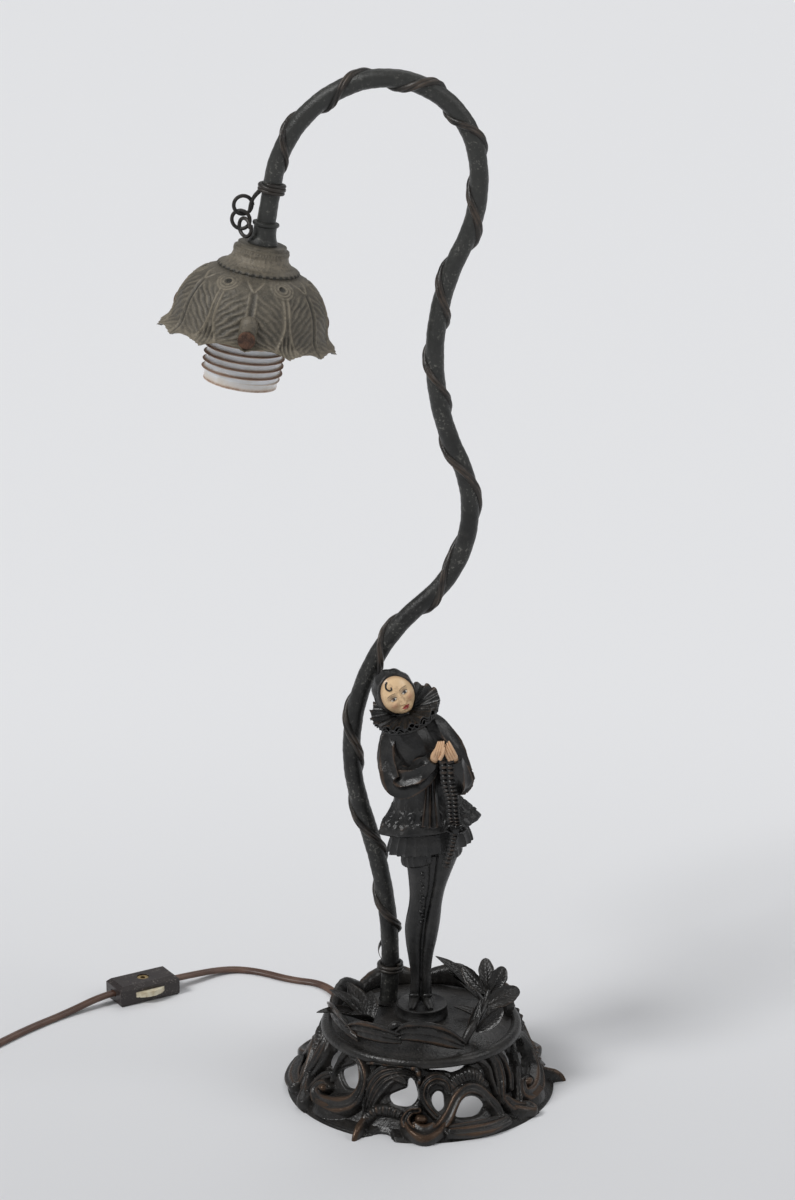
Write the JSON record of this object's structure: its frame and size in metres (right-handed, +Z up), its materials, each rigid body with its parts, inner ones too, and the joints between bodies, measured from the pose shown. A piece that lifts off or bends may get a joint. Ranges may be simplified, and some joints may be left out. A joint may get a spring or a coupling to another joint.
{
  "type": "figural table lamp",
  "caption": "Table lamp with a round openwork base, a curved stem wound with a vine, a costumed standing figure, a bell-shaped shade cap over a porcelain lampholder and a corded switch.",
  "frame": {"origin": "centre of the base on the surface that the lamp stands on", "axes": "+Z up, +X towards the lamp's right as seen from the front, +Y towards its back"},
  "size_m": [0.4161, 0.2279, 0.5565],
  "materials": {
    "bronze_patina": "dark brown patina worn to bronze on the high spots",
    "cap_patina": "dusty grey-green patina",
    "stem_patina": "dark patina, greyer towards the top",
    "screw_metal": "tarnished",
    "plated_steel": "dull plated",
    "porcelain": "glazed white porcelain, opaque",
    "fibre": "pressed fibre",
    "bright_brass": "plain brass",
    "ivory": "ivory-coloured, satin",
    "cord_rubber": "brown, satin",
    "bakelite": "dark brown moulding",
    "cream_plastic": "cream, aged"
  },
  "bodies": {
    "lamp": {"base_screws": "plated_steel", "base_skirt": "bronze_patina", "base_tray": "bronze_patina", "cap_collar": "cap_patina", "cap_lock_nut": "plated_steel", "centre_contact": "bright_brass", "cord_bushing": "fibre", "cord_coil": "cord_rubber", "cord_far": "cord_rubber", "cord_near": "cord_rubber", "cord_tail": "cord_rubber", "figure_costume": "bronze_patina", "figure_face": "ivory", "figure_hands": "ivory", "figure_hood": "bronze_patina", "figure_legs": "bronze_patina", "figure_ribbons": "bronze_patina", "figure_ruff": "bronze_patina", "figure_screw": "plated_steel", "leaf_band_back": "bronze_patina", "leaf_band_front": "bronze_patina", "leaf_spray_back": "bronze_patina", "leaf_spray_left": "bronze_patina", "leaf_spray_right": "bronze_patina", "plug_blades": "bright_brass", "plug_body": "bakelite", "porcelain_socket": "porcelain", "screw_shell": "bright_brass", "shade_cap": "cap_patina", "shell_insulator": "fibre", "socket_lock_nut": "plated_steel", "stem_lead": "cord_rubber", "stem_lock_nut": "plated_steel", "stem_tube": "stem_patina", "stem_washer": "plated_steel", "switch_contacts": "bright_brass", "switch_housing_lower": "bakelite", "switch_housing_upper": "bakelite", "switch_rivet": "bright_brass", "terminal_screws": "bright_brass", "vine": "stem_patina", "vine_ties": "stem_patina"},
    "thumbscrew_1_shank": {"thumbscrew_1_shank": "screw_metal"},
    "thumbscrew_1_head": {"thumbscrew_1_head": "screw_metal"},
    "thumbscrew_2_shank": {"thumbscrew_2_shank": "screw_metal"},
    "thumbscrew_2_head": {"thumbscrew_2_head": "screw_metal"},
    "thumbscrew_3_shank": {"thumbscrew_3_shank": "screw_metal"},
    "thumbscrew_3_head": {"thumbscrew_3_head": "screw_metal"},
    "switch_wheel": {"switch_wheel": "cream_plastic"}
  },
  "joints": [
    {"name": "thumbscrew_1_travel", "type": "slide", "parent": "lamp", "child": "thumbscrew_1_shank", "axis": [0, -1, 0], "range_m": [0, 0.00595]},
    {"name": "thumbscrew_1_turn", "type": "hinge", "parent": "thumbscrew_1_shank", "child": "thumbscrew_1_head", "pos_m": [-0.08943, -0.025, 0.42536], "axis": [0, -1, 0], "range_deg": [0, 2700]},
    {"name": "thumbscrew_2_travel", "type": "slide", "parent": "lamp", "child": "thumbscrew_2_shank", "axis": [-0.8531, 0.5, 0.1489], "range_m": [0, 0.00595]},
    {"name": "thumbscrew_2_turn", "type": "hinge", "parent": "thumbscrew_2_shank", "child": "thumbscrew_2_head", "pos_m": [-0.12612, 0.0395, 0.43176], "axis": [-0.8531, 0.5, 0.1489], "range_deg": [0, 2700]},
    {"name": "thumbscrew_3_travel", "type": "slide", "parent": "lamp", "child": "thumbscrew_3_shank", "axis": [0.8531, 0.5, -0.1489], "range_m": [0, 0.00595]},
    {"name": "thumbscrew_3_turn", "type": "hinge", "parent": "thumbscrew_3_shank", "child": "thumbscrew_3_head", "pos_m": [-0.05275, 0.0395, 0.41895], "axis": [0.8531, 0.5, -0.1489], "range_deg": [0, 2700]},
    {"name": "switch_wheel_turn", "type": "hinge", "parent": "lamp", "child": "switch_wheel", "pos_m": [-0.161, 0.117, 0.006], "axis": [0, 0, 1], "continuous": true}
  ],
  "couplings": [
    {"joint": "thumbscrew_1_turn", "follows": "thumbscrew_1_travel", "rad_per_m": 7913.3},
    {"joint": "thumbscrew_2_turn", "follows": "thumbscrew_2_travel", "rad_per_m": 7913.3},
    {"joint": "thumbscrew_3_turn", "follows": "thumbscrew_3_travel", "rad_per_m": 7913.3}
  ]
}
